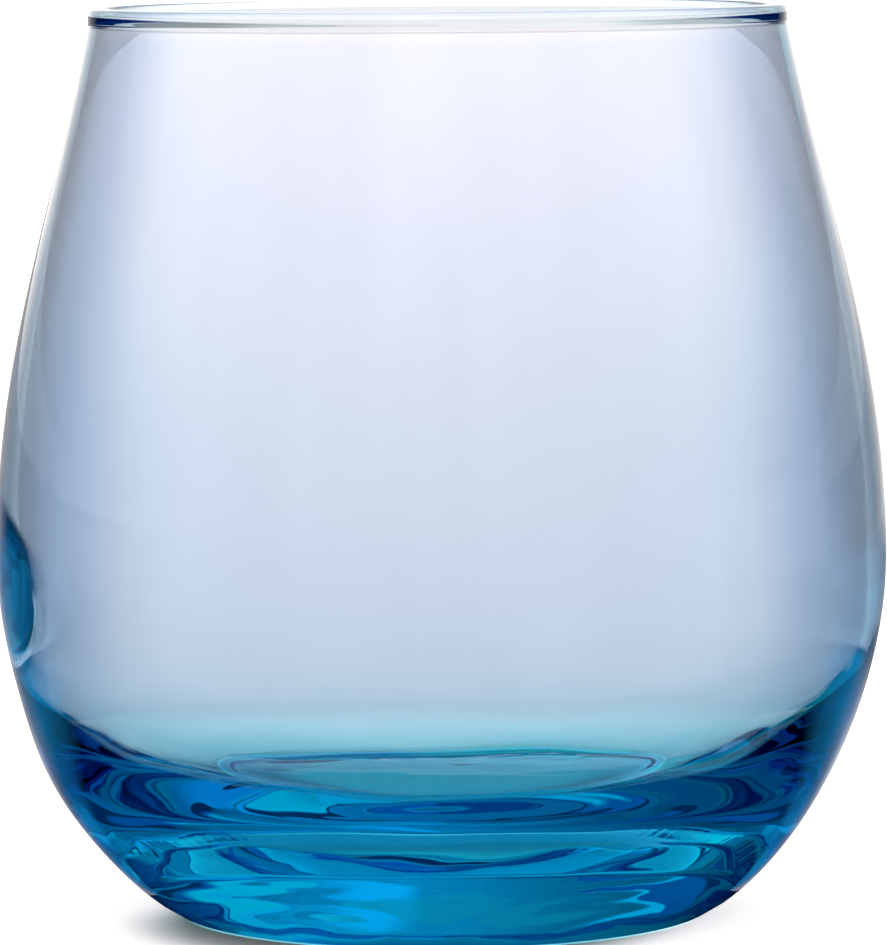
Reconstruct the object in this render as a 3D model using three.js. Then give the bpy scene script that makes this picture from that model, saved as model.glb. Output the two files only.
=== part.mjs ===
// Stemless drinking glass of clear blue, body-tinted glass: a heavy round base, a full belly and
// a wall that leans in to a fire-polished lip. The whole glass is turned about one axis.
// Frame: millimetres, +Z up along the axis, origin on the table under the middle of the foot.

import * as THREE from "three";

// Outside sizes
const GLASS_HEIGHT = 91.9;
const BELLY_DIAMETER = 90;
const BELLY_HEIGHT = 36.5;
const RIM_DIAMETER = 70.4;

// Shape of the outside curve: its slope at each end, and how far each end keeps its direction
const HEEL_ANGLE = THREE.MathUtils.degToRad(25.5);
const HEEL_PULL = 10.7;
const LOWER_BELLY_PULL = 15;
const UPPER_BELLY_PULL = 20;
const SHOULDER_PULL = 20;
const RIM_LEAN = THREE.MathUtils.degToRad(11.5);

// Lip
const LIP_HEIGHT = 1.8;
const LIP_THICKNESS = 1.6;

// Thickness of the glass
const RIM_WALL = 1;
const BELLY_WALL = 1.9;
const FLOOR_HEIGHT = 10.3;
const FLOOR_DIAMETER = 48;
const FLOOR_EDGE_ANGLE = THREE.MathUtils.degToRad(16);
const FLOOR_PULL = 12.5;
const INSIDE_BELLY_PULL = 18.5;

// Underside: a flat bearing ring round a shallow hollow
const FOOT_RING_HEIGHT = 0.6;
const HOLLOW_DIAMETER = 47.4;
const FOOT_RING_WIDTH = 2.7;
const HOLLOW_EDGE_SLOPE = THREE.MathUtils.degToRad(40);
const HOLLOW_RISE = 0.4;

// Fineness of the facets
const ROUND_STEPS = 64;
const WALL_STEPS = 12;
const HEEL_STEPS = 9;
const BASE_STEPS = 6;
const FOOT_STEPS = 2;
const HOLLOW_STEPS = 4;
const LIP_STEPS = 8;
const BISECTIONS = 48;

// Heights of the planes between the zones
const lipPlane = GLASS_HEIGHT - LIP_HEIGHT;
const footPlane = FOOT_RING_HEIGHT;

const bellyRadius = BELLY_DIAMETER / 2;
const rimRadius = RIM_DIAMETER / 2;
const floorRadius = FLOOR_DIAMETER / 2;
const hollowRadius = HOLLOW_DIAMETER / 2;
const footRadius = hollowRadius + FOOT_RING_WIDTH;
const hollowTopRadius = hollowRadius - FOOT_RING_HEIGHT / Math.tan(HOLLOW_EDGE_SLOPE);

// Points of a profile are (radius, height).
const at = (radius, height) => new THREE.Vector2(radius, height);

// Heel: from the edge of the foot, rising at the heel's angle, to an upright tangent at the belly.
const heelCurve = new THREE.CubicBezierCurve(
  at(footRadius, 0),
  at(footRadius + HEEL_PULL * Math.cos(HEEL_ANGLE), HEEL_PULL * Math.sin(HEEL_ANGLE)),
  at(bellyRadius, BELLY_HEIGHT - LOWER_BELLY_PULL),
  at(bellyRadius, BELLY_HEIGHT),
);

// Wall from the belly to the lip, a given depth of glass inside the outer surface at its two ends.
function wallCurve(bellyDepth, rimDepth) {
  const belly = bellyRadius - bellyDepth;
  const rim = rimRadius - rimDepth;
  return new THREE.CubicBezierCurve(
    at(belly, BELLY_HEIGHT),
    at(belly, BELLY_HEIGHT + UPPER_BELLY_PULL),
    at(rim + SHOULDER_PULL * Math.sin(RIM_LEAN), lipPlane - SHOULDER_PULL * Math.cos(RIM_LEAN)),
    at(rim, lipPlane),
  );
}

// Inside of the heel: rises from the edge of the floor at the floor edge's angle, upright at the belly.
const insideCurve = new THREE.CubicBezierCurve(
  at(floorRadius, FLOOR_HEIGHT),
  at(
    floorRadius + FLOOR_PULL * Math.cos(FLOOR_EDGE_ANGLE),
    FLOOR_HEIGHT + FLOOR_PULL * Math.sin(FLOOR_EDGE_ANGLE),
  ),
  at(bellyRadius - BELLY_WALL, BELLY_HEIGHT - INSIDE_BELLY_PULL),
  at(bellyRadius - BELLY_WALL, BELLY_HEIGHT),
);

// Where a rising curve passes a height, as the curve's own parameter.
function parameterAt(curve, height) {
  let low = 0;
  let high = 1;
  for (let i = 0; i < BISECTIONS; i += 1) {
    const middle = (low + high) / 2;
    if (curve.getPoint(middle).y < height) {
      low = middle;
    } else {
      high = middle;
    }
  }
  return (low + high) / 2;
}

// Points of the heel's outside between two heights, lowest first.
function heelBetween(lowHeight, highHeight, steps) {
  const start = parameterAt(heelCurve, lowHeight);
  const end = parameterAt(heelCurve, highHeight);
  const points = [];
  for (let i = 0; i <= steps; i += 1) {
    points.push(heelCurve.getPoint(start + ((end - start) * i) / steps));
  }
  points[0].y = lowHeight;
  points[steps].y = highHeight;
  return points;
}

// A dome about the axis, from its edge to its middle, bowed as a parabola.
function bowFromEdge(edgeRadius, edgeHeight, rise, steps) {
  const points = [];
  for (let i = 0; i <= steps; i += 1) {
    const radius = edgeRadius * (1 - i / steps);
    points.push(at(radius, edgeHeight + rise * (1 - (radius / edgeRadius) ** 2)));
  }
  return points;
}

// Turns a profile, listed up the outside and down the inside, about the upright axis.
function turned(name, profile, color, roughness) {
  const geometry = new THREE.LatheGeometry(profile, ROUND_STEPS);
  geometry.rotateX(Math.PI / 2);
  const material = new THREE.MeshStandardMaterial({ color, roughness, metalness: 0 });
  const mesh = new THREE.Mesh(geometry, material);
  mesh.name = name;
  return mesh;
}

const closed = (points) => [...points, points[0].clone()];

// Lip: upright sides and a round top.
function rimBead() {
  const bow = LIP_THICKNESS / 2;
  const profile = [at(rimRadius - LIP_THICKNESS, lipPlane), at(rimRadius, lipPlane)];
  for (let i = 0; i <= LIP_STEPS; i += 1) {
    const turn = (Math.PI * i) / LIP_STEPS;
    const radius = rimRadius - bow + bow * Math.cos(turn);
    profile.push(at(radius, GLASS_HEIGHT - bow + bow * Math.sin(turn)));
  }
  return turned("rim_bead", closed(profile), 0xdde6f4, 0.03);
}

function bowlWall() {
  const outside = wallCurve(0, 0).getPoints(WALL_STEPS);
  const inside = wallCurve(BELLY_WALL, RIM_WALL).getPoints(WALL_STEPS).reverse();
  return turned("bowl_wall", closed([...outside, ...inside]), 0xc6d4e9, 0.03);
}

function bowlHeel() {
  const outside = heelBetween(FLOOR_HEIGHT, BELLY_HEIGHT, HEEL_STEPS);
  const inside = insideCurve.getPoints(HEEL_STEPS).reverse();
  return turned("bowl_heel", closed([...outside, ...inside]), 0x3d93bf, 0.03);
}

// Solid base, flat inside and hollowed underneath.
function baseSham() {
  const underside = bowFromEdge(hollowTopRadius, footPlane, HOLLOW_RISE, HOLLOW_STEPS).reverse();
  const outside = heelBetween(footPlane, FLOOR_HEIGHT, BASE_STEPS);
  const floor = [at(floorRadius, FLOOR_HEIGHT), at(0, FLOOR_HEIGHT)];
  return turned("base_sham", [...underside, ...outside, ...floor], 0x0083b6, 0.03);
}

function footRing() {
  const outside = heelBetween(0, footPlane, FOOT_STEPS);
  const profile = [at(hollowRadius, 0), ...outside, at(hollowTopRadius, footPlane)];
  return turned("foot_ring", closed(profile), 0x0089bc, 0.12);
}

const glass = new THREE.Group();
glass.name = "drinking_glass";
glass.add(rimBead(), bowlWall(), bowlHeel(), baseSham(), footRing());

export default glass;
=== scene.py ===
"""Looks of a stemless drinking glass of clear blue glass, standing on a pale studio floor.

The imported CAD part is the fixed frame. One turned surface stands for all of its zones, because light passes
right through the glass and any face between two zones would show.
"""

import math

import bpy
import numpy as np
from bpy.props import FloatProperty, FloatVectorProperty, PointerProperty
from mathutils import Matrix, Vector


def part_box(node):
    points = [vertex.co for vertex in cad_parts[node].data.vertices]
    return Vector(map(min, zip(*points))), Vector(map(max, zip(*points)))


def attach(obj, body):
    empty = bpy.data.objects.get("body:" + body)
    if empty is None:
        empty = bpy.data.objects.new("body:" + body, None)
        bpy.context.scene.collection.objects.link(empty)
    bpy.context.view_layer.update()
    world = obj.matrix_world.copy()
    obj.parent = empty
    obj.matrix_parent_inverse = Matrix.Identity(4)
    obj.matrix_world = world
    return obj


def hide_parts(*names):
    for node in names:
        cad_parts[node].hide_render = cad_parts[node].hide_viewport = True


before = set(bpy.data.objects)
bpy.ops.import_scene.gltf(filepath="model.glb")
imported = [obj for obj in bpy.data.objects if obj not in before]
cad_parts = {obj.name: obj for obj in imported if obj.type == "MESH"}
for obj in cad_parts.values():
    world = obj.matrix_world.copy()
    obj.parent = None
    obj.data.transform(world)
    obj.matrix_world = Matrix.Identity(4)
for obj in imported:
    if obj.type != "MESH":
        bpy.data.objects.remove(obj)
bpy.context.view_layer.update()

bl_info = {
    "name": "Blue Drinking Glass",
    "version": (1, 0, 0),
    "blender": (4, 5, 0),
    "location": "3D View > Sidebar > Glass",
    "description": "Builds a stemless blue drinking glass and a pale studio round its CAD frame",
    "category": "Add Mesh",
}

MM = 0.001
PHOTO_HEIGHT_PX = 945
SENSOR_WIDTH_MM = 36.0

# Levels and radii that the CAD zones already fix, in metres.
RIM_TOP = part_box("rim_bead")[1]
LIP_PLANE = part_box("rim_bead")[0].z
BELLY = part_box("bowl_heel")[1]
FLOOR_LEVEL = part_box("base_sham")[1].z
RING_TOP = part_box("foot_ring")[1].z

# Fineness of the turned surface: points along each stretch of the profile, and steps round the axis.
ROUND_STEPS = 384
UNDERSIDE_POINTS = 14
CORNER_POINTS = 5
RING_POINTS = 6
HEEL_POINTS = 44
WALL_POINTS = 36
LIP_POINTS = 15
BEAD_POINTS = 8
INSIDE_POINTS = 64
FLOOR_POINTS = 16

# Points at the start of the heel that the rounded edge of the foot takes the place of.
FOOT_EDGE_POINTS = 4

# The striae left by the gather: how many waves are summed, the seed of their places, the range of their lobes
# round the axis, how far below the belly they come in, and the share of them that is left at the front and back.
STRIAE = 14
STRIAE_SEED = 5
STRIAE_LOBES = (3, 16)
STRIAE_FADE = 14 * MM
STRIAE_FRONT = 0.35

# Spread of the uneven places: radians round the axis, and metres up and down.
THICK_SIDE_TURN = 0.22
THICK_SIDE_ABOVE = 4.5 * MM
THICK_SIDE_BELOW = 3.5 * MM
THICK_HEEL_TURN = 0.6
THICK_HEEL_FALL = 5 * MM
FULL_SIDE_TURN = 0.7
FULL_SIDE_FALL = 7 * MM
FULL_SIDE_START = 4 * MM
KNURL_HALF_WIDTH = 1 * MM
KNURL_TOP = 1 * MM

# Heights, in metres, where the surface tint and its painted edge shade change, and the share of the edge
# shade's shift over the belly.
FOOT_TINT_TOP = 11.5 * MM
HEEL_TINT_LEVEL = 16 * MM
RIM_TINT_SHARE = 0.98
WALL_LEVELS = (16 * MM, 30 * MM)
RIM_LEVELS = (50 * MM, 85 * MM)
BELLY_SHARES = ((28 * MM, 0.0), (39 * MM, 1.0), (46 * MM, 1.0), (64 * MM, 0.0))

# Painted shade: a surface tint that darkens the wall toward its edges, by how far the surface turns away from
# the eye, from 0 to 1.
EDGE_SHADE_TINTS = (
    (0.26, "#ffffff"),
    (0.35, "#f3f6f8"),
    (0.485, "#cad4e3"),
    (0.63, "#b3c0d0"),
    (0.72, "#a6acbc"),
    (0.8, "#9593a2"),
    (1.0, "#958b99"),
)

# Size of the faint streaks in the wall, across and along, in metres.
STREAK_WIDTH = 13 * MM
STREAK_LENGTH = 110 * MM

# The painted reflection of the floor, shown only to rays the glass mirrors: distances from the axis, in metres,
# the widest turn of the bright band from straight behind, and shares of its brightness.
RAMP_REACH = 1200 * MM
SIDE_BLEND = 10 * MM
FLANK_NEAR, FLANK_FAR = 36 * MM, 75 * MM
FLANK_AHEAD = 5 * MM
BAND_FAR = 80 * MM
BAND_NEAR_TURN, BAND_FAR_TURN = math.pi / 2.8, math.pi / 2
BAND_SHARES = ((60 * MM, 0.65), (95 * MM, 1.25), (130 * MM, 1.0))
RIGHT_NEAR_SHARE, RIGHT_FAR_SHARE = 1.2, 0.55
STRIPS_NEAR, STRIPS_FAR = 380 * MM, 520 * MM

# Painted cards on the floor, which only rays bent in the thick glass see, and the painted patch of light on
# them: where each edge is dark and where it is bright, in metres.
PAINTED_CARD_HOLE = 60 * MM
PAINTED_CARD_NEAR, PAINTED_CARD_FAR = 130 * MM, 180 * MM
PAINTED_CARD_BLEND = 100 * MM
PATCH_LEFT = (-8 * MM, 4 * MM)
PATCH_RIGHT = (60 * MM, 40 * MM)
PATCH_FRONT = (0.0, 30 * MM)
PATCH_BACK = (150 * MM, 125 * MM)

# The painted room that only the thick glass shows: heights as the upward part of a direction, turns to the right
# of straight behind in radians, and how many mirrorings inside the glass it takes to show the dark sheet at the
# back.
PAINTED_CARD_TOP, ROOM_START, ROOM_END, CEILING = (math.sin(math.radians(rise)) for rise in (14, 22, 40, 55))
LEFT_ROOM_TURN, RIGHT_ROOM_TURN = -0.7, 0.2
PAINTED_BACK_CARD_TURN = 0.2
PAINTED_BACK_CARD_HALF, PAINTED_BACK_CARD_EDGE = 0.3, 0.55
PAINTED_BACK_CARD_FULL, PAINTED_BACK_CARD_TOP = (math.sin(math.radians(rise)) for rise in (18, 26))
PAINTED_BACK_CARD_BOUNCES = 5.5
KEY_DIRECTION = (0.55, 0.6, 0.58)

# Half the side of the paper, in metres, and the bounces that light in the thick base needs.
PAPER_REACH = 6.0
GLASS_BOUNCES = 128


def linear(hexadecimal):
    """Turns an sRGB hex colour such as "#0083b6" to linear red, green and blue."""
    coded = np.array([int(hexadecimal[i : i + 2], 16) for i in (1, 3, 5)]) / 255
    return tuple(np.where(coded <= 0.04045, coded / 12.92, ((coded + 0.055) / 1.055) ** 2.4).tolist())


def length(name, description, default):
    """A size in metres."""
    return FloatProperty(name=name, description=description, default=default, unit="LENGTH", precision=5)


def angle(name, description, degrees):
    """An angle, written in degrees."""
    return FloatProperty(name=name, description=description, default=math.radians(degrees), subtype="ANGLE")


def colour(name, description, hexadecimal):
    """A colour, written as sRGB hex."""
    return FloatVectorProperty(
        name=name, description=description, default=linear(hexadecimal), subtype="COLOR", min=0, max=1
    )


def amount(name, description, default):
    """A plain number."""
    return FloatProperty(name=name, description=description, default=default)


class GlassSizes(bpy.types.PropertyGroup):
    """Sizes of the glass: the levels and radii of the CAD zones, and the curves between them."""

    height: length("Height", "Table to the top of the lip", RIM_TOP.z)
    rim_radius: length("Rim radius", "Outside of the lip", RIM_TOP.x)
    lip_plane: length("Lip plane", "Where the wall meets the lip", LIP_PLANE)
    lip_thickness: length("Lip thickness", "Fire-polished bead", 1.6 * MM)
    lip_power: amount("Lip power", "1 for a round lip, less for squarer shoulders", 0.6)
    rim_lean: angle("Rim lean", "Lean of the wall under the lip", 11.5)
    belly_radius: length("Belly radius", "Widest outside radius", BELLY.x)
    belly_height: length("Belly height", "Height of the widest place", BELLY.z)
    upper_pull: length("Upper pull", "How far the wall stays upright over the belly", 20 * MM)
    shoulder_pull: length("Shoulder pull", "How far the wall keeps the rim's lean", 20 * MM)
    lower_pull: length("Lower pull", "How far the heel stays upright under the belly", 15 * MM)
    heel_angle: angle("Heel angle", "Rise of the heel at the foot", 25.5)
    heel_pull: length("Heel pull", "How far the heel keeps that rise", 10.7 * MM)
    foot_radius: length("Foot radius", "Outer edge of the bearing ring", 26.4 * MM)
    foot_round: length("Foot rounding", "Softened edge between the ring and the heel", 0.8 * MM)
    ring_round: length("Ring rounding", "Softened inner edges of the ring", 0.3 * MM)
    rim_wall: length("Rim wall", "Thickness of the wall under the lip", 1.0 * MM)
    belly_wall: length("Belly wall", "Thickness of the wall at the belly", 1.9 * MM)
    floor_height: length("Floor height", "Table to the flat floor inside", FLOOR_LEVEL)
    floor_radius: length("Floor radius", "Flat part of the floor inside", 24 * MM)
    floor_edge_angle: angle("Floor edge angle", "Rise of the inside at the floor's edge", 16)
    floor_pull: length("Floor pull", "How far the inside keeps that rise", 12.5 * MM)
    inside_pull: length("Inside pull", "How far the inside stays upright under the belly", 18.5 * MM)
    hollow_radius: length("Hollow radius", "Inner edge of the bearing ring", 23.7 * MM)
    hollow_slope: angle("Hollow slope", "Slope of the ring's inner edge", 40)
    hollow_depth: length("Hollow depth", "Table to the edge of the hollow", RING_TOP)
    hollow_rise: length("Hollow rise", "Rise of the hollow to its middle", 0.4 * MM)


class GlassLook(bpy.types.PropertyGroup):
    """Colour and clarity of the glass, and the small unevenness of its making."""

    depth_colour: colour("Depth colour", "White light after the sample depth of glass", "#a7f0f9")
    sample_depth: length("Sample depth", "Depth of glass that gives the depth colour", 10 * MM)
    ior: amount("IOR", "Soda-lime glass", 1.52)
    striae_depth: length("Striae depth", "Typical depth of the waves inside the heel", 0.035 * MM)
    striae_pitch: length("Striae pitch", "Shortest wave along the profile", 6 * MM)
    thick_side: length("Thick side", "Extra glass inside the belly on the left", 1.0 * MM)
    thick_height: length("Thick height", "Height of that extra glass", 33 * MM)
    thick_turn: angle("Thick turn", "Place of that extra glass, from the far left toward the front", 6)
    thick_heel: length("Thick heel", "Extra glass inside the heel on the right", 1.0 * MM)
    heel_height: length("Heel height", "Height of that extra glass", 19 * MM)
    full_side: length("Full side", "How much fuller the heel is outside on the left", 0.6 * MM)
    full_height: length("Full height", "Height of that fullness", 14 * MM)
    knurls: amount("Knurls", "Small grooves round the bearing ring", 96)
    knurl_depth: length("Knurl depth", "Depth of those grooves", 0.03 * MM)
    # Painted shade: how much sooner the belly darkens toward its edges, and the share of it left at the rim.
    belly_edge: amount("Belly edge", "How much sooner the belly darkens toward its edges", 0.06)
    rim_edge: amount("Rim edge", "Share of the darkening toward the edges that is left at the rim", 0.75)
    streaks: amount("Streaks", "Strength of the faint upright streaks in the wall", 0.03)
    mirror_share: amount("Mirror share", "Share of the plain mirror reflection that is kept", 0.05)
    foot_tint: colour("Foot tint", "Surface tint of the foot", "#f6f6fa")
    heel_tint: colour("Heel tint", "Surface tint of the heel", "#d4d6df")
    belly_tint: colour("Belly tint", "Surface tint of the belly", "#e9dfe7")
    rim_tint: colour("Rim tint", "Surface tint of the rim", "#f5edf3")
    lip_tint: colour("Lip tint", "Surface tint of the lip", "#fff4f6")


class StudioSettings(bpy.types.PropertyGroup):
    """Where the camera stands, how pale the floor and the room are, and what the glass shows of them."""

    camera_distance: length("Camera distance", "Axis of the glass to the camera, level", 700 * MM)
    camera_height: length("Camera height", "Table to the camera", 105 * MM)
    camera_aside: length("Camera aside", "Camera's place to the right of the axis", 0.7 * MM)
    aim_height: length("Aim height", "Height on the axis that the camera looks at", 44.67 * MM)
    camera_roll: angle("Camera roll", "Tilt of the camera about its own line of sight", 0.42)
    photo_scale: amount("Photo scale", "Photo pixels to a millimetre at the axis", 9.876)
    floor_colour: colour("Floor", "Pale paper sweep", "#fafafa")
    floor_glow: amount("Floor glow", "Light that the overlit paper adds to the eye", 0.62)
    glow_colour: colour("Glow colour", "Colour of that light, which evens out the glass's blue", "#ffe8e3")
    glass_glow: amount("Glass glow", "Light that the overlit paper adds through the glass", 0.36)
    # Painted shadow on the paper: its middle, the contact shade laid into the paper's colour, and the fade of the
    # paper's glow round it.
    shadow_x: length("Shadow place X", "Middle of the shadow on the floor", -4.2 * MM)
    shadow_y: length("Shadow place Y", "Middle of the shadow on the floor", -9.3 * MM)
    contact_shade: colour("Contact shade", "Paper where the foot nearly touches it", "#cbb0a5")
    contact_inner: length("Contact inner radius", "Where the contact shade starts to fade", 18 * MM)
    contact_outer: length("Contact outer radius", "Where the contact shade has faded out", 28.5 * MM)
    shadow_inner: length("Shadow inner radius", "Where the shadow starts to fade", 21 * MM)
    shadow_outer: length("Shadow outer radius", "Where the shadow has faded out", 30.3 * MM)
    # Painted pool of blue light on the paper under the foot, in rings round the axis.
    pool_radius: length("Pool radius", "Edge of the blue light under the foot", 29 * MM)
    pool_colour: colour("Pool", "Blue light gathered under the foot", "#00b4c5")
    pool_line: colour("Pool line", "Light that leaks out at the edge of the foot", "#7fdcec")
    pool_ring: colour("Pool ring", "Blue light round the hollow's edge", "#00708f")
    pool_edge: colour("Pool edge", "Blue light under the bearing ring", "#0086ae")
    # Painted refractions, seen only by rays bent in the thick base: a blue sheet low in the room, its bands and a
    # lamp, dark and blue cards on the floor and the light thrown on them. The key bias is real light on the floor.
    painted_low_card: colour("Blue card", "Card low behind the glass, as the thick glass bends it into view", "#30b2cd")
    lower_room: amount("Lower room", "Brightness of the room over the card, in the thick glass", 0.66)
    upper_room: amount("Upper room", "Brightness of the room overhead, in the thick glass", 1.1)
    key_bias: amount("Key bias", "How much brighter the room is at the back on the right", 0.2)
    left_room: amount("Left room", "Share of the room's brightness on the left, in the thick glass", 0.6)
    softbox: amount("Softbox", "Extra brightness of the lamp behind the glass", 1.0)
    softbox_turn: angle("Softbox turn", "Place of that lamp, from straight behind to the right", 26)
    softbox_width: angle("Softbox width", "Half the width of that lamp", 11)
    painted_dark_card: colour("Flag", "Dark cards on the floor and at the back, as the thick glass shows them", "#28506f")
    painted_near_card: colour("Near flag", "Card on the floor close to the glass, in its blue light", "#0093c8")
    thrown_light: colour("Thrown light", "Light that the glass throws on that card behind it", "#00ffc4")
    painted_card_left: length("Left flag", "Radius out to which the floor's card lies on the left", 330 * MM)
    painted_card_right: length("Right flag", "Radius out to which the floor's card lies on the right", 200 * MM)
    # Painted reflections: the near floor and the room as only the glass mirrors them, dark with bands of sheen,
    # blue and strip lights.
    near_sheen: colour("Near sheen", "Near floor as the edge of the heel mirrors it", "#b4bccb")
    mirrored_near_floor: colour("Near floor", "The same a little farther in", "#7399c3")
    mirrored_near_blue: colour("Near blue", "Near floor in the glass's blue light, as the heel mirrors it", "#26a6ed")
    mirror_room: amount("Mirror room", "Brightness of the room that the glass mirrors", 0.25)
    foot_flank: length("Foot flank", "Radius where the glass mirrors the floor close to the foot", 31 * MM)
    heel_flank: length("Heel flank", "Radius where the glass mirrors the floor farther away", 42 * MM)
    left_strips: amount("Left strips", "Brightness of the mirrored strip lights on the left", 2.0)
    right_strips: amount("Right strips", "Brightness of the mirrored strip lights on the right", 1.6)
    left_floor: amount("Left floor", "Brightness of the mirrored floor on the left", 0.7)
    right_floor: amount("Right floor", "Brightness of the mirrored floor on the right", 1.2)


def bezier(start, start_handle, end_handle, end, count):
    """A cubic curve as (count, 2) radii and heights: every point is the four control points added up in the
    shares (1-t)^3, 3t(1-t)^2, 3t^2(1-t) and t^3, with t running evenly from 0 to 1."""
    t = np.linspace(0, 1, count)[:, None]
    shares = np.hstack([(1 - t) ** 3, 3 * t * (1 - t) ** 2, 3 * t**2 * (1 - t), t**3])
    return shares @ np.array([start, start_handle, end_handle, end])


def smooth(share):
    """Eases a share from 0 to 1, level at both ends: 3 s^2 - 2 s^3 with s held between 0 and 1."""
    held = np.clip(share, 0, 1)
    return held**2 * (3 - 2 * held)


def corner(before, middle, after, reach):
    """A rounded corner: the parabola that leaves the two sides at the given reach from where they would meet."""
    before, middle, after = (np.array(point) for point in (before, middle, after))
    start = middle + reach * (before - middle) / np.linalg.norm(before - middle)
    end = middle + reach * (after - middle) / np.linalg.norm(after - middle)
    t = np.linspace(0, 1, CORNER_POINTS)[:, None]
    return (1 - t) ** 2 * start + 2 * t * (1 - t) * middle + t**2 * end


def wall_curve(sizes, belly_depth, rim_depth):
    """The wall from belly to lip, upright at the belly and leaning at the lip, set in from the outside by the
    given depths of glass. One more point close under the lip keeps the bend there tight."""
    belly = sizes.belly_radius - belly_depth
    rim = sizes.rim_radius - rim_depth
    lean = sizes.shoulder_pull * np.array([math.sin(sizes.rim_lean), -math.cos(sizes.rim_lean)])
    wall = bezier(
        (belly, sizes.belly_height),
        (belly, sizes.belly_height + sizes.upper_pull),
        np.array([rim, sizes.lip_plane]) + lean,
        (rim, sizes.lip_plane),
        WALL_POINTS,
    )
    return np.vstack([wall[:-1], 0.8 * wall[-1] + 0.2 * wall[-2], wall[-1]])


def heel_curve(sizes):
    """Outside of the heel, from the edge of the foot to an upright tangent at the belly."""
    rise = sizes.heel_pull * np.array([math.cos(sizes.heel_angle), math.sin(sizes.heel_angle)])
    return bezier(
        (sizes.foot_radius, 0),
        np.array([sizes.foot_radius, 0]) + rise,
        (sizes.belly_radius, sizes.belly_height - sizes.lower_pull),
        (sizes.belly_radius, sizes.belly_height),
        HEEL_POINTS,
    )


def underside_profile(sizes, heel):
    """Middle of the hollow to the foot of the heel: a shallow parabola, the ring's sloping inner edge, the flat
    ring and the foot's outer edge, each corner rounded."""
    slope_run = sizes.hollow_depth / math.tan(sizes.hollow_slope)
    dome_end = sizes.hollow_radius - slope_run
    radius = np.linspace(0, dome_end - sizes.ring_round, UNDERSIDE_POINTS)
    dome = np.column_stack([radius, sizes.hollow_depth + sizes.hollow_rise * (1 - (radius / dome_end) ** 2)])
    top, foot, edge = (dome_end, sizes.hollow_depth), (sizes.hollow_radius, 0), (sizes.foot_radius, 0)
    upper = corner(dome[-1], top, foot, sizes.ring_round)
    lower = corner(top, foot, edge, sizes.ring_round)
    outer = corner(foot, edge, heel[FOOT_EDGE_POINTS], sizes.foot_round)
    ring = np.linspace(lower[-1], outer[0], RING_POINTS)
    return np.vstack([dome[:-1], upper, lower, ring[1:-1], outer])


def lip_profile(sizes):
    """The fire-polished bead: an upright outer side, a squared half circle over the top (the root of the cosine
    across and of the sine up), and an eased inner side that runs back to the wall."""
    bow = sizes.lip_thickness / 2
    shoulder = sizes.height - bow
    turn = np.linspace(0, math.pi, LIP_POINTS)
    across = np.sign(np.cos(turn)) * np.abs(np.cos(turn)) ** sizes.lip_power
    up = np.abs(np.sin(turn)) ** sizes.lip_power
    over = np.column_stack([sizes.rim_radius - bow + bow * across, shoulder + bow * up])
    share = np.linspace(0, 1, BEAD_POINTS)
    level = sizes.lip_plane + share * (shoulder - sizes.lip_plane)
    outer = np.column_stack([np.full(BEAD_POINTS, sizes.rim_radius), level])
    depth = sizes.rim_wall + (sizes.lip_thickness - sizes.rim_wall) * smooth(share)
    inner = np.column_stack([sizes.rim_radius - depth, level])
    return np.vstack([outer[:-1], over, inner[::-1][1:]])


def inside_curve(sizes):
    """Inside of the heel, rising from the edge of the floor to an upright tangent at the belly."""
    belly = sizes.belly_radius - sizes.belly_wall
    edge = np.array([sizes.floor_radius, sizes.floor_height])
    rise = sizes.floor_pull * np.array([math.cos(sizes.floor_edge_angle), math.sin(sizes.floor_edge_angle)])
    return bezier(
        edge,
        edge + rise,
        (belly, sizes.belly_height - sizes.inside_pull),
        (belly, sizes.belly_height),
        INSIDE_POINTS,
    )


def floor_profile(sizes):
    """The flat floor inside, from its edge to its middle."""
    radius = np.linspace(sizes.floor_radius, 0, FLOOR_POINTS)
    return np.column_stack([radius, np.full(FLOOR_POINTS, sizes.floor_height)])


def glass_profile(sizes):
    """The whole section as radii and heights: out along the underside, up the outside, over the lip, down the
    inside and in along the floor. Also tells which points lie inside the bowl."""
    heel = heel_curve(sizes)
    outside = np.vstack(
        [
            underside_profile(sizes, heel),
            heel[FOOT_EDGE_POINTS:],
            wall_curve(sizes, 0, 0)[1:-1],
            lip_profile(sizes),
        ]
    )
    inside = np.vstack(
        [
            wall_curve(sizes, sizes.belly_wall, sizes.rim_wall)[::-1][1:],
            inside_curve(sizes)[::-1][1:],
            floor_profile(sizes)[1:],
        ]
    )
    return np.vstack([outside, inside]), np.repeat([False, True], [len(outside), len(inside)])


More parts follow.
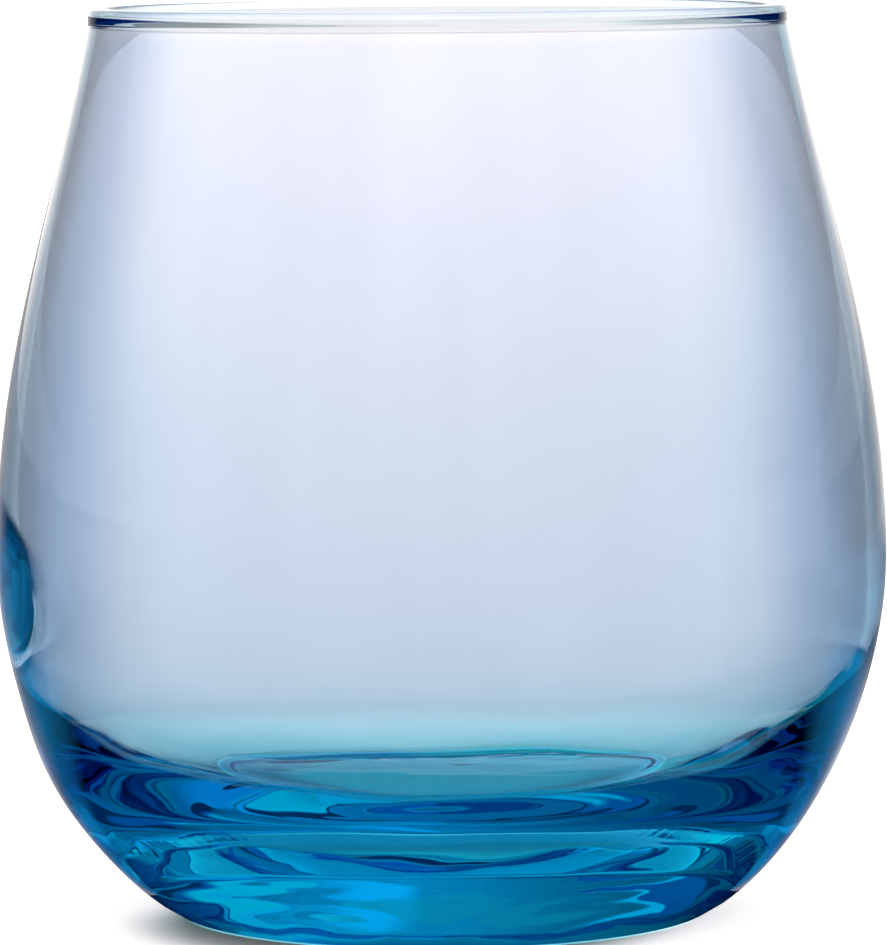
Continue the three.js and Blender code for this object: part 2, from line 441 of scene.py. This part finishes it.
def unevenness(sizes, look, profile, inside):
    """How far each point of the turned grid stands out along its normal, as a (points, steps) array.

    Inside the heel it is the sum of cosine waves, each with a whole number of lobes round the axis, a pitch along
    the profile and a start of its own, fading out up the wall and toward the middle of the floor, and strongest on
    the left and right. Bells, each the exponential of minus a squared turn and a squared height, add glass inside
    the belly on the left, inside the heel on the right and outside the heel on the left. The bearing ring has a
    row of raised-cosine grooves."""
    turn = np.arange(ROUND_STEPS) * 2 * math.pi / ROUND_STEPS
    along = np.append(0, np.cumsum(np.linalg.norm(np.diff(profile, axis=0), axis=1)))[:, None]
    radius, height = profile[:, :1], profile[:, 1:]
    bowl = inside[:, None]

    random = np.random.default_rng(STRIAE_SEED)
    lobes = random.integers(*STRIAE_LOBES, (STRIAE, 1, 1))
    pitch = random.uniform(-1, 1, (STRIAE, 1, 1)) * 2 * math.pi / look.striae_pitch
    start = random.uniform(0, 2 * math.pi, (STRIAE, 1, 1))
    waves = np.cos(lobes * turn + pitch * along + start).sum(axis=0) * math.sqrt(2 / STRIAE)
    reach = bowl * smooth((sizes.belly_height - height) / STRIAE_FADE) * smooth(radius / sizes.floor_radius)
    reach = reach * (STRIAE_FRONT + (1 - STRIAE_FRONT) * np.cos(turn) ** 2)

    from_left = np.abs(turn - math.pi)
    from_right = math.pi - from_left
    from_bell = turn - math.pi - look.thick_turn
    from_side = height - look.thick_height
    fall = np.where(from_side > 0, THICK_SIDE_ABOVE, THICK_SIDE_BELOW)
    from_heel, from_full = height - look.heel_height, height - look.full_height
    left = bowl * np.exp(-((from_bell / THICK_SIDE_TURN) ** 2) - (from_side / fall) ** 2)
    right = bowl * np.exp(-((from_right / THICK_HEEL_TURN) ** 2) - (from_heel / THICK_HEEL_FALL) ** 2)
    full = np.exp(-((from_left / FULL_SIDE_TURN) ** 2) - (from_full / FULL_SIDE_FALL) ** 2)
    full = ~bowl * smooth(height / FULL_SIDE_START) * full
    bells = look.thick_side * left + look.thick_heel * right + look.full_side * full

    ring_middle = (sizes.hollow_radius + sizes.foot_radius) / 2
    ring = ~bowl * np.exp(-(((radius - ring_middle) / KNURL_HALF_WIDTH) ** 4)) * (height < KNURL_TOP)
    grooves = 0.5 - 0.5 * np.cos(round(look.knurls) * turn)
    return look.striae_depth * waves * reach + bells - look.knurl_depth * grooves * ring


def turned_mesh(name, profile, shift):
    """A closed surface of revolution: each profile point but the two on the axis makes a ring, at the angles
    2 pi j / steps, moved out along the profile's normal by its shift. The first and last rings close on their
    middle points."""
    turn = np.arange(ROUND_STEPS) * 2 * math.pi / ROUND_STEPS
    tangent = np.gradient(profile, axis=0)
    tangent /= np.linalg.norm(tangent, axis=1, keepdims=True)
    radius = (profile[:, :1] + tangent[:, 1:] * shift)[1:-1]
    height = (profile[:, 1:] - tangent[:, :1] * shift)[1:-1]
    grid = np.stack([radius * np.cos(turn), radius * np.sin(turn), height], axis=-1)
    rings = len(grid)
    poles = np.array([[0, 0, profile[0, 1]], [0, 0, profile[-1, 1]]])
    points = np.vstack([grid.reshape(-1, 3), poles])

    ring, step = np.meshgrid(np.arange(rings - 1), np.arange(ROUND_STEPS), indexing="ij")
    after = (step + 1) % ROUND_STEPS
    low, high = ring * ROUND_STEPS, (ring + 1) * ROUND_STEPS
    quads = np.stack([low + step, low + after, high + after, high + step], axis=-1).reshape(-1, 4)

    step = np.arange(ROUND_STEPS)
    after = (step + 1) % ROUND_STEPS
    last_ring = (rings - 1) * ROUND_STEPS
    bottom_pole, top_pole = len(points) - 2, len(points) - 1
    bottom = np.column_stack([after, step, np.full(ROUND_STEPS, bottom_pole)])
    top = np.column_stack([last_ring + step, last_ring + after, np.full(ROUND_STEPS, top_pole)])

    mesh = bpy.data.meshes.new(name)
    mesh.from_pydata(points.tolist(), [], quads.tolist() + bottom.tolist() + top.tolist())
    mesh.polygons.foreach_set("use_smooth", np.ones(len(mesh.polygons), dtype=bool))
    mesh.validate()
    mesh.update()
    return mesh


def add_node(tree, kind, inputs=(), **settings):
    """Adds a node to a tree, sets its own settings, and gives each input socket a value or a link."""
    node = tree.nodes.new(kind)
    stops = settings.pop("stops", ())
    for name, value in settings.items():
        setattr(node, name, value)
    for place, shade in stops[2:]:
        node.color_ramp.elements.new(place)
    for element, (place, shade) in zip(node.color_ramp.elements if stops else (), stops):
        element.position, element.color = place, (*shade, 1)
    for socket, value in dict(inputs).items():
        if isinstance(value, bpy.types.NodeSocket):
            tree.links.new(value, node.inputs[socket])
        else:
            node.inputs[socket].default_value = value
    return node


def new_material(name):
    """A material with an empty node tree."""
    material = bpy.data.materials.new(name)
    material.use_nodes = True
    material.node_tree.nodes.clear()
    return material


def blue_blown_glass(sizes, look):
    """Soda-lime glass tinted blue in the melt and fire-polished: clear and nearly white where it is thin, and a
    deep cyan blue wherever light travels far inside it. A surface tint by height, with painted shade that darkens
    it toward the edges of the wall, gives the grey rim round a thin glass, and faint upright streaks show how the
    wall was drawn."""
    material = new_material("soda_lime_glass_blue_fire_polished")
    tree = material.node_tree
    fading = -np.log(np.array(look.depth_colour)) / look.sample_depth
    strongest = float(fading.max())
    place = add_node(tree, "ShaderNodeTexCoord")
    axes = add_node(tree, "ShaderNodeSeparateXYZ", {"Vector": place.outputs["Object"]})
    share = add_node(tree, "ShaderNodeMapRange", {"Value": axes.outputs["Z"], "From Max": sizes.height})
    by_height = add_node(
        tree,
        "ShaderNodeValToRGB",
        {"Fac": share.outputs[0]},
        stops=[
            (FOOT_TINT_TOP / sizes.height, look.foot_tint),
            (HEEL_TINT_LEVEL / sizes.height, look.heel_tint),
            (sizes.belly_height / sizes.height, look.belly_tint),
            (RIM_TINT_SHARE * sizes.lip_plane / sizes.height, look.rim_tint),
            (sizes.lip_plane / sizes.height, look.lip_tint),
        ],
    )
    facing = add_node(tree, "ShaderNodeLayerWeight", {"Blend": 0.5})
    belly = add_node(
        tree,
        "ShaderNodeValToRGB",
        {"Fac": share.outputs[0]},
        stops=[(level / sizes.height, [part] * 3) for level, part in BELLY_SHARES],
    )
    edge = add_node(
        tree,
        "ShaderNodeMath",
        {0: belly.outputs["Color"], 1: look.belly_edge, 2: facing.outputs["Facing"]},
        operation="MULTIPLY_ADD",
    )
    painted_edge_shade = add_node(
        tree,
        "ShaderNodeValToRGB",
        {"Fac": edge.outputs[0]},
        stops=[(turned, linear(shade)) for turned, shade in EDGE_SHADE_TINTS],
    )
    wall = add_node(
        tree,
        "ShaderNodeMapRange",
        {"Value": axes.outputs["Z"], "From Min": WALL_LEVELS[0], "From Max": WALL_LEVELS[1]},
    )
    edged = add_node(
        tree,
        "ShaderNodeMapRange",
        {
            "Value": axes.outputs["Z"],
            "From Min": RIM_LEVELS[0],
            "From Max": RIM_LEVELS[1],
            "To Min": wall.outputs[0],
            "To Max": look.rim_edge,
        },
    )
    # Painted shade: the height tint, darkened toward the edges of the wall by the edge ramp.
    tint = add_node(
        tree,
        "ShaderNodeMix",
        {"Factor": edged.outputs[0], 6: by_height.outputs["Color"], 7: painted_edge_shade.outputs["Color"]},
        data_type="RGBA",
        blend_type="MULTIPLY",
    )
    stretched = add_node(
        tree,
        "ShaderNodeMapping",
        {"Vector": place.outputs["Object"], "Scale": (1 / STREAK_WIDTH, 1 / STREAK_WIDTH, 1 / STREAK_LENGTH)},
    )
    noise = add_node(
        tree, "ShaderNodeTexNoise", {"Vector": stretched.outputs["Vector"], "Scale": 1.0, "Detail": 2.0}
    )
    streak = add_node(
        tree,
        "ShaderNodeMapRange",
        {
            "Value": noise.outputs["Fac"],
            "From Min": 0.35,
            "From Max": 0.65,
            "To Min": 1.0,
            "To Max": 1.0 - look.streaks,
        },
        interpolation_type="SMOOTHSTEP",
    )
    streaked = add_node(
        tree,
        "ShaderNodeMix",
        {"Factor": wall.outputs[0], 6: tint.outputs[2], 7: streak.outputs[0]},
        data_type="RGBA",
        blend_type="MULTIPLY",
    )
    shader = add_node(
        tree,
        "ShaderNodeBsdfPrincipled",
        {
            "Base Color": streaked.outputs[2],
            "Transmission Weight": 1.0,
            "Roughness": 0.0,
            "IOR": look.ior,
            "Specular Tint": (*[look.mirror_share] * 3, 1),
        },
    )
    body = add_node(
        tree,
        "ShaderNodeVolumeAbsorption",
        {"Color": (*(1 - fading / strongest).tolist(), 1), "Density": strongest},
    )
    add_node(
        tree,
        "ShaderNodeOutputMaterial",
        {"Surface": shader.outputs["BSDF"], "Volume": body.outputs["Volume"]},
    )
    return material


def strip_lights(tree, across, along, aside, left, right):
    """Adds the brightness of a painted ring of four strip lights, seen only in reflections: the cosine of four
    times the turn, from a half below zero up, times the brightness on the left or right. The turn comes from the
    two level parts of a direction."""
    turn = add_node(tree, "ShaderNodeMath", {0: across, 1: along}, operation="ARCTAN2")
    four = add_node(tree, "ShaderNodeMath", {0: turn.outputs[0], 1: 4.0}, operation="MULTIPLY")
    wave = add_node(tree, "ShaderNodeMath", {0: four.outputs[0]}, operation="COSINE")
    side = add_node(
        tree,
        "ShaderNodeMapRange",
        {"Value": aside, "From Min": -SIDE_BLEND, "From Max": SIDE_BLEND, "To Min": left, "To Max": right},
    )
    return add_node(
        tree,
        "ShaderNodeMapRange",
        {"Value": wave.outputs[0], "From Min": -0.5, "From Max": 1.0, "To Max": side.outputs[0]},
    )


def foot_pool(tree, studio, from_axis):
    """Adds a painted pool of the blue light that the thick base gathers on the paper under it, in rings round the
    axis.
    """
    share = add_node(tree, "ShaderNodeMapRange", {"Value": from_axis, "From Max": studio.pool_radius})
    return add_node(
        tree,
        "ShaderNodeValToRGB",
        {"Fac": share.outputs[0]},
        stops=[
            (0.5, studio.pool_colour),
            (0.64, studio.pool_ring),
            (0.74, studio.pool_ring),
            (0.8, studio.pool_edge),
            (0.885, studio.pool_edge),
            (0.9, studio.pool_line),
            (0.915, (0, 0, 0)),
        ],
    )


def paper_glow(tree, studio, path, from_shadow, pool):
    """Adds the light of the overlit paper: a little warm to the eye and white through the glass, with a painted
    shadow where it fades to none toward the shadow's middle, and the painted blue pool on top of it."""
    through = add_node(
        tree, "ShaderNodeMath", {0: path.outputs["Is Transmission Ray"], 1: studio.glass_glow}, operation="MULTIPLY"
    )
    strength = add_node(
        tree,
        "ShaderNodeMath",
        {0: path.outputs["Is Camera Ray"], 1: studio.floor_glow, 2: through.outputs[0]},
        operation="MULTIPLY_ADD",
    )
    # Painted shadow: the paper's glow fades to none toward the shadow's middle.
    lit = add_node(
        tree,
        "ShaderNodeMapRange",
        {
            "Value": from_shadow,
            "From Min": studio.shadow_inner,
            "From Max": studio.shadow_outer,
            "To Max": strength.outputs[0],
        },
        interpolation_type="SMOOTHSTEP",
    )
    warm = add_node(
        tree,
        "ShaderNodeMix",
        {"Factor": path.outputs["Is Camera Ray"], 6: (1, 1, 1, 1), 7: (*studio.glow_colour, 1)},
        data_type="RGBA",
    )
    return add_node(
        tree,
        "ShaderNodeMix",
        {"Factor": lit.outputs[0], 6: pool.outputs["Color"], 7: warm.outputs[2]},
        data_type="RGBA",
        blend_type="ADD",
    )


def mirrored_floor(tree, studio, from_axis, reach, ground):
    """Adds a painted reflection: the floor as only the flanks of the glass mirror it. Near the foot it goes from
    painted sheen to blue and to black by the turn of each place, seen from the flank: the arc tangent of its
    distance out from the flank over its distance behind it. Farther away it shows painted strip lights in a ring."""
    aside = add_node(tree, "ShaderNodeMath", {0: ground.outputs["X"]}, operation="ABSOLUTE")
    flank = add_node(
        tree,
        "ShaderNodeMapRange",
        {
            "Value": from_axis,
            "From Min": FLANK_NEAR,
            "From Max": FLANK_FAR,
            "To Min": studio.foot_flank,
            "To Max": studio.heel_flank,
        },
    )
    outward = add_node(tree, "ShaderNodeMath", {0: aside.outputs[0], 1: flank.outputs[0]}, operation="SUBTRACT")
    behind = add_node(tree, "ShaderNodeMath", {0: ground.outputs["Y"], 1: FLANK_AHEAD}, operation="ADD")
    turn = add_node(tree, "ShaderNodeMath", {0: outward.outputs[0], 1: behind.outputs[0]}, operation="ARCTAN2")
    widest = add_node(
        tree,
        "ShaderNodeMapRange",
        {
            "Value": from_axis,
            "From Min": FLANK_NEAR,
            "From Max": BAND_FAR,
            "To Min": BAND_NEAR_TURN,
            "To Max": BAND_FAR_TURN,
        },
    )
    turned = add_node(tree, "ShaderNodeMapRange", {"Value": turn.outputs[0], "From Max": widest.outputs[0]})
    band = add_node(
        tree,
        "ShaderNodeValToRGB",
        {"Fac": turned.outputs[0]},
        stops=[
            (0.0, (0, 0, 0)),
            (4 / 90, studio.near_sheen),
            (10 / 90, studio.near_sheen),
            (22 / 90, studio.mirrored_near_floor),
            (36 / 90, studio.mirrored_near_blue),
            (55 / 90, studio.mirrored_near_blue),
            (75 / 90, (0, 0, 0)),
        ],
    )
    by_distance = add_node(
        tree,
        "ShaderNodeValToRGB",
        {"Fac": reach},
        stops=[(radius / RAMP_REACH, [part] * 3) for radius, part in BAND_SHARES],
    )
    right_share = add_node(
        tree,
        "ShaderNodeMapRange",
        {
            "Value": from_axis,
            "From Min": PAINTED_CARD_NEAR,
            "From Max": PAINTED_CARD_FAR,
            "To Min": RIGHT_NEAR_SHARE,
            "To Max": RIGHT_FAR_SHARE,
        },
    )
    by_side = add_node(
        tree,
        "ShaderNodeMapRange",
        {
            "Value": ground.outputs["X"],
            "From Min": -SIDE_BLEND,
            "From Max": SIDE_BLEND,
            "To Min": 1.0,
            "To Max": right_share.outputs[0],
        },
    )
    share = add_node(
        tree, "ShaderNodeMath", {0: by_distance.outputs["Color"], 1: by_side.outputs[0]}, operation="MULTIPLY"
    )
    near = add_node(
        tree,
        "ShaderNodeMix",
        {"Factor": 1.0, 6: band.outputs["Color"], 7: share.outputs[0]},
        data_type="RGBA",
        blend_type="MULTIPLY",
    )
    strips = strip_lights(
        tree, outward.outputs[0], ground.outputs["Y"], ground.outputs["X"], studio.left_floor, studio.right_floor
    )
    distant = add_node(
        tree, "ShaderNodeMapRange", {"Value": from_axis, "From Min": STRIPS_NEAR, "From Max": STRIPS_FAR}
    )
    return add_node(
        tree,
        "ShaderNodeMix",
        {"Factor": distant.outputs[0], 6: near.outputs[2], 7: strips.outputs[0]},
        data_type="RGBA",
    )


def painted_card_share(tree, studio, path, from_axis, ground):
    """Adds where the floor shows painted cards in place of the paper, seen only through the thick glass: clear of
    the foot, to rays mirrored once inside it out to the edge on either side, and anywhere to rays mirrored twice."""
    once, twice = (
        add_node(
            tree,
            "ShaderNodeMath",
            {
                0: path.outputs["Is Transmission Ray"],
                1: add_node(
                    tree, "ShaderNodeMath", {0: path.outputs["Glossy Depth"], 1: count}, operation="GREATER_THAN"
                ).outputs[0],
            },
            operation="MULTIPLY",
        )
        for count in (0.5, 1.5)
    )
    edge = add_node(
        tree,
        "ShaderNodeMapRange",
        {
            "Value": ground.outputs["X"],
            "From Min": -PAINTED_CARD_BLEND,
            "From Max": PAINTED_CARD_BLEND,
            "To Min": studio.painted_card_left,
            "To Max": studio.painted_card_right,
        },
    )
    within = add_node(tree, "ShaderNodeMath", {0: from_axis, 1: edge.outputs[0]}, operation="DIVIDE")
    covered = add_node(
        tree,
        "ShaderNodeMapRange",
        {"Value": within.outputs[0], "From Min": 1.15, "From Max": 0.85, "To Max": once.outputs[0]},
        interpolation_type="SMOOTHSTEP",
    )
    either = add_node(
        tree, "ShaderNodeMath", {0: covered.outputs[0], 1: twice.outputs[0]}, operation="MAXIMUM"
    )
    clear = add_node(tree, "ShaderNodeMath", {0: from_axis, 1: PAINTED_CARD_HOLE}, operation="GREATER_THAN")
    return add_node(tree, "ShaderNodeMath", {0: either.outputs[0], 1: clear.outputs[0]}, operation="MULTIPLY")


def painted_thrown_patch(tree, studio, from_axis, ground):
    """Adds a painted patch of the light that the glass throws, on the painted cards behind it, a little to the
    right.
    """
    share = 1.0
    for where, dark, bright in (
        (ground.outputs["X"], *PATCH_LEFT),
        (ground.outputs["X"], *PATCH_RIGHT),
        (ground.outputs["Y"], *PATCH_FRONT),
        (from_axis, *PATCH_BACK),
    ):
        fade = add_node(
            tree, "ShaderNodeMapRange", {"Value": where, "From Min": dark, "From Max": bright, "To Max": share}
        )
        share = fade.outputs[0]
    return add_node(
        tree,
        "ShaderNodeMix",
        {"Factor": share, 6: (0, 0, 0, 1), 7: (*studio.thrown_light, 1)},
        data_type="RGBA",
    )


def pale_paper(studio):
    """Matt paper sweep, as under a product photo: white to the eye, with the soft shadow of what stands on it,
    partly real and partly painted, and a painted pool of the blue light that the thick base gathers under the
    foot. To rays the glass mirrors it shows painted reflections, dark with bright bands, and to rays bent in the
    thick base it shows painted blue and dark cards."""
    material = new_material("paper_sweep_matt_white")
    tree = material.node_tree
    path = add_node(tree, "ShaderNodeLightPath")
    place = add_node(tree, "ShaderNodeTexCoord")
    ground = add_node(tree, "ShaderNodeSeparateXYZ", {"Vector": place.outputs["Object"]})
    axis = add_node(tree, "ShaderNodeVectorMath", {0: place.outputs["Object"]}, operation="LENGTH")
    from_axis = axis.outputs["Value"]
    reach = add_node(tree, "ShaderNodeMapRange", {"Value": from_axis, "From Max": RAMP_REACH}).outputs[0]
    shadow = add_node(
        tree,
        "ShaderNodeVectorMath",
        {0: place.outputs["Object"], 1: (studio.shadow_x, studio.shadow_y, 0)},
        operation="DISTANCE",
    )
    from_shadow = shadow.outputs["Value"]
    mirrored = add_node(
        tree,
        "ShaderNodeMath",
        {0: path.outputs["Is Reflection Ray"], 1: path.outputs["Is Glossy Ray"]},
        operation="MULTIPLY",
    )
    # Painted shadow: close to the foot the paper's colour fades to the contact shade.
    contact = add_node(
        tree,
        "ShaderNodeMapRange",
        {"Value": from_shadow, "From Min": studio.contact_inner, "From Max": studio.contact_outer},
        interpolation_type="SMOOTHSTEP",
    )
    shaded = add_node(
        tree,
        "ShaderNodeMix",
        {"Factor": contact.outputs[0], 6: (*studio.contact_shade, 1), 7: (*studio.floor_colour, 1)},
        data_type="RGBA",
    )
    paper = add_node(
        tree,
        "ShaderNodeMix",
        {"Factor": mirrored.outputs[0], 6: shaded.outputs[2], 7: (0, 0, 0, 1)},
        data_type="RGBA",
    )
    lit = paper_glow(tree, studio, path, from_shadow, foot_pool(tree, studio, from_axis))
    mirror = mirrored_floor(tree, studio, from_axis, reach, ground)
    glow = add_node(
        tree,
        "ShaderNodeMix",
        {"Factor": mirrored.outputs[0], 6: lit.outputs[2], 7: mirror.outputs[2]},
        data_type="RGBA",
        blend_type="ADD",
    )
    # Painted cards: colours that the floor shows only to rays bent in the thick glass, blue near it and dark
    # farther off.
    painted_card = add_node(
        tree,
        "ShaderNodeValToRGB",
        {"Fac": reach},
        stops=[(PAINTED_CARD_NEAR / RAMP_REACH, studio.painted_near_card), (PAINTED_CARD_FAR / RAMP_REACH, studio.painted_dark_card)],
    )
    shown = painted_card_share(tree, studio, path, from_axis, ground)
    thrown = painted_thrown_patch(tree, studio, from_axis, ground)
    surface = add_node(
        tree,
        "ShaderNodeMix",
        {"Factor": shown.outputs[0], 6: paper.outputs[2], 7: painted_card.outputs["Color"]},
        data_type="RGBA",
    )
    light = add_node(
        tree,
        "ShaderNodeMix",
        {"Factor": shown.outputs[0], 6: glow.outputs[2], 7: thrown.outputs[2]},
        data_type="RGBA",
    )
    shader = add_node(
        tree,
        "ShaderNodeBsdfPrincipled",
        {
            "Base Color": surface.outputs[2],
            "Roughness": 1.0,
            "Specular IOR Level": 0.0,
            "Emission Color": light.outputs[2],
            "Emission Strength": 1.0,
        },
    )
    add_node(tree, "ShaderNodeOutputMaterial", {"Surface": shader.outputs["BSDF"]})
    return material


def room_in_thick_glass(tree, studio, path, axes):
    """Adds a painted room that only rays mirrored inside the base see: a blue sheet low down, a dim band over it, a
    bright ceiling, a painted lamp behind on the right, and a dark sheet there after many mirrorings."""
    by_height = add_node(
        tree,
        "ShaderNodeValToRGB",
        {"Fac": axes.outputs["Z"]},
        stops=[
            (PAINTED_CARD_TOP, studio.painted_low_card),
            (ROOM_START, [studio.lower_room] * 3),
            (ROOM_END, [studio.lower_room] * 3),
            (CEILING, [studio.upper_room] * 3),
        ],
    )
    turn = add_node(tree, "ShaderNodeMath", {0: axes.outputs["X"], 1: axes.outputs["Y"]}, operation="ARCTAN2")
    from_lamp, from_painted_card = (
        add_node(
            tree,
            "ShaderNodeMath",
            {0: add_node(tree, "ShaderNodeMath", {0: turn.outputs[0], 1: middle}, operation="SUBTRACT").outputs[0]},
            operation="ABSOLUTE",
        )
        for middle in (studio.softbox_turn, PAINTED_BACK_CARD_TURN)
    )
    side = add_node(
        tree,
        "ShaderNodeMapRange",
        {
            "Value": turn.outputs[0],
            "From Min": LEFT_ROOM_TURN,
            "From Max": RIGHT_ROOM_TURN,
            "To Min": studio.left_room,
            "To Max": 1.0,
        },
    )
    lamp_share = add_node(
        tree,
        "ShaderNodeMapRange",
        {
            "Value": from_lamp.outputs[0],
            "From Min": 1.6 * studio.softbox_width,
            "From Max": 0.4 * studio.softbox_width,
            "To Min": side.outputs[0],
            "To Max": 1.0 + studio.softbox,
        },
        interpolation_type="SMOOTHSTEP",
    )
    lit = add_node(
        tree,
        "ShaderNodeMix",
        {"Factor": 1.0, 6: by_height.outputs["Color"], 7: lamp_share.outputs[0]},
        data_type="RGBA",
        blend_type="MULTIPLY",
    )
    fewest = add_node(
        tree,
        "ShaderNodeMapRange",
        {
            "Value": axes.outputs["Z"],
            "From Min": PAINTED_CARD_TOP,
            "From Max": ROOM_START,
            "To Min": 1.5,
            "To Max": 0.5,
        },
    )
    bent = add_node(
        tree,
        "ShaderNodeMath",
        {0: path.outputs["Glossy Depth"], 1: fewest.outputs[0]},
        operation="GREATER_THAN",
    )
    room = add_node(
        tree,
        "ShaderNodeMix",
        {"Factor": bent.outputs[0], 6: (1, 1, 1, 1), 7: lit.outputs[2]},
        data_type="RGBA",
    )
    often = add_node(
        tree, "ShaderNodeMath", {0: path.outputs["Glossy Depth"], 1: PAINTED_BACK_CARD_BOUNCES}, operation="GREATER_THAN"
    )
    across = add_node(
        tree,
        "ShaderNodeMapRange",
        {
            "Value": from_painted_card.outputs[0],
            "From Min": PAINTED_BACK_CARD_EDGE,
            "From Max": PAINTED_BACK_CARD_HALF,
            "To Max": often.outputs[0],
        },
    )
    low = add_node(
        tree,
        "ShaderNodeMapRange",
        {
            "Value": axes.outputs["Z"],
            "From Min": PAINTED_BACK_CARD_TOP,
            "From Max": PAINTED_BACK_CARD_FULL,
            "To Max": across.outputs[0],
        },
    )
    return add_node(
        tree,
        "ShaderNodeMix",
        {"Factor": low.outputs[0], 6: room.outputs[2], 7: (*studio.painted_dark_card, 1)},
        data_type="RGBA",
    )


def studio_room(studio):
    """A white room, a little brighter at the back on the right. To rays the glass mirrors it shows a dimmer painted
    reflection, a ring of strip lights, and to rays bent in the thick base it shows painted cards and a painted lamp
    behind it."""
    world = bpy.data.worlds.new("white_studio")
    world.use_nodes = True
    tree = world.node_tree
    tree.nodes.clear()
    path = add_node(tree, "ShaderNodeLightPath")
    mirrored = add_node(
        tree,
        "ShaderNodeMath",
        {0: path.outputs["Is Reflection Ray"], 1: path.outputs["Is Glossy Ray"]},
        operation="MULTIPLY",
    )
    place = add_node(tree, "ShaderNodeTexCoord")
    axes = add_node(tree, "ShaderNodeSeparateXYZ", {"Vector": place.outputs["Generated"]})
    through = room_in_thick_glass(tree, studio, path, axes)
    # Painted reflection: strip lights that only rays the glass mirrors see.
    strips = strip_lights(
        tree, axes.outputs["X"], axes.outputs["Y"], axes.outputs["X"], studio.left_strips, studio.right_strips
    )
    strips = add_node(tree, "ShaderNodeMath", {0: strips.outputs[0], 1: studio.mirror_room}, operation="ADD")
    shown = add_node(
        tree,
        "ShaderNodeMix",
        {"Factor": mirrored.outputs[0], 6: through.outputs[2], 7: strips.outputs[0]},
        data_type="RGBA",
    )
    toward_key = add_node(
        tree,
        "ShaderNodeVectorMath",
        {0: place.outputs["Generated"], 1: KEY_DIRECTION},
        operation="DOT_PRODUCT",
    )
    lamp = add_node(
        tree,
        "ShaderNodeMapRange",
        {
            "Value": toward_key.outputs["Value"],
            "From Min": -1.0,
            "To Min": 1 - studio.key_bias,
            "To Max": 1 + studio.key_bias,
        },
    )
    light = add_node(
        tree,
        "ShaderNodeMix",
        {"Factor": path.outputs["Is Diffuse Ray"], 6: shown.outputs[2], 7: lamp.outputs[0]},
        data_type="RGBA",
    )
    brightness = add_node(
        tree,
        "ShaderNodeMix",
        {"Factor": path.outputs["Is Camera Ray"], 6: light.outputs[2], 7: (1, 1, 1, 1)},
        data_type="RGBA",
    )
    room = add_node(tree, "ShaderNodeBackground", {"Color": brightness.outputs[2], "Strength": 1.0})
    add_node(tree, "ShaderNodeOutputWorld", {"Surface": room.outputs["Background"]})
    return world


def link_object(name, data):
    """Puts new data into the scene as an object at the origin."""
    item = bpy.data.objects.new(name, data)
    bpy.context.scene.collection.objects.link(item)
    return item


class TUMBLER_OT_glass(bpy.types.Operator):
    """Turns the whole glass as one closed surface and gives it its blue glass"""

    bl_idname = "tumbler.glass"
    bl_label = "Glass"

    def execute(self, context):
        sizes, look = context.scene.glass_sizes, context.scene.glass_look
        profile, inside = glass_profile(sizes)
        mesh = turned_mesh("glass_body", profile, unevenness(sizes, look, profile, inside))
        mesh.materials.append(blue_blown_glass(sizes, look))
        glass = link_object("glass_body", mesh)
        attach(glass, "root")
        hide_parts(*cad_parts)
        return {"FINISHED"}


class TUMBLER_OT_studio(bpy.types.Operator):
    """Lays the pale floor, sets the white room and places the camera"""

    bl_idname = "tumbler.studio"
    bl_label = "Studio"

    def execute(self, context):
        scene = context.scene
        studio = scene.studio_settings
        self.lay_floor(studio)
        scene.world = studio_room(studio)
        scene.camera = self.place_camera(studio)
        scene.view_settings.view_transform = "Standard"
        scene.cycles.max_bounces = GLASS_BOUNCES
        scene.cycles.transmission_bounces = GLASS_BOUNCES
        scene.cycles.glossy_bounces = GLASS_BOUNCES
        return {"FINISHED"}

    def lay_floor(self, studio):
        """A level square of paper, 12 m a side."""
        corners = [(PAPER_REACH * x, PAPER_REACH * y, 0) for x, y in ((-1, -1), (1, -1), (1, 1), (-1, 1))]
        mesh = bpy.data.meshes.new("studio_floor")
        mesh.from_pydata(corners, [], [(0, 1, 2, 3)])
        mesh.materials.append(pale_paper(studio))
        link_object("studio_floor", mesh)

    def place_camera(self, studio):
        """Looks along +Y and down at the aim height, with the lens that gives the photo's scale there."""
        drop = studio.camera_height - studio.aim_height
        reach_mm = math.hypot(studio.camera_distance, drop) / MM
        camera = bpy.data.cameras.new("photo_camera")
        camera.sensor_width = SENSOR_WIDTH_MM
        camera.lens = studio.photo_scale * reach_mm * SENSOR_WIDTH_MM / PHOTO_HEIGHT_PX
        camera.clip_end = 100
        item = link_object("photo_camera", camera)
        item.location = (studio.camera_aside, -studio.camera_distance, studio.camera_height)
        pitch = math.pi / 2 - math.atan2(drop, studio.camera_distance)
        item.rotation_euler = (pitch, studio.camera_roll, 0)
        return item


class TUMBLER_PT_sidebar(bpy.types.Panel):
    """Lists the steps that build the glass"""

    bl_idname = "TUMBLER_PT_sidebar"
    bl_label = "Drinking Glass"
    bl_space_type = "VIEW_3D"
    bl_region_type = "UI"
    bl_category = "Glass"

    def draw(self, context):
        column = self.layout.column()
        column.operator(TUMBLER_OT_glass.bl_idname)
        column.operator(TUMBLER_OT_studio.bl_idname)
        for group in (context.scene.glass_sizes, context.scene.glass_look, context.scene.studio_settings):
            for name in group.__annotations__:
                column.prop(group, name)


CLASSES = (
    GlassSizes,
    GlassLook,
    StudioSettings,
    TUMBLER_OT_glass,
    TUMBLER_OT_studio,
    TUMBLER_PT_sidebar,
)


def register():
    for item in CLASSES:
        bpy.utils.register_class(item)
    bpy.types.Scene.glass_sizes = PointerProperty(type=GlassSizes)
    bpy.types.Scene.glass_look = PointerProperty(type=GlassLook)
    bpy.types.Scene.studio_settings = PointerProperty(type=StudioSettings)


def unregister():
    del bpy.types.Scene.studio_settings
    del bpy.types.Scene.glass_look
    del bpy.types.Scene.glass_sizes
    for item in reversed(CLASSES):
        bpy.utils.unregister_class(item)


def main():
    register()
    bpy.ops.tumbler.glass()
    bpy.ops.tumbler.studio()


if __name__ == "__main__":
    main()
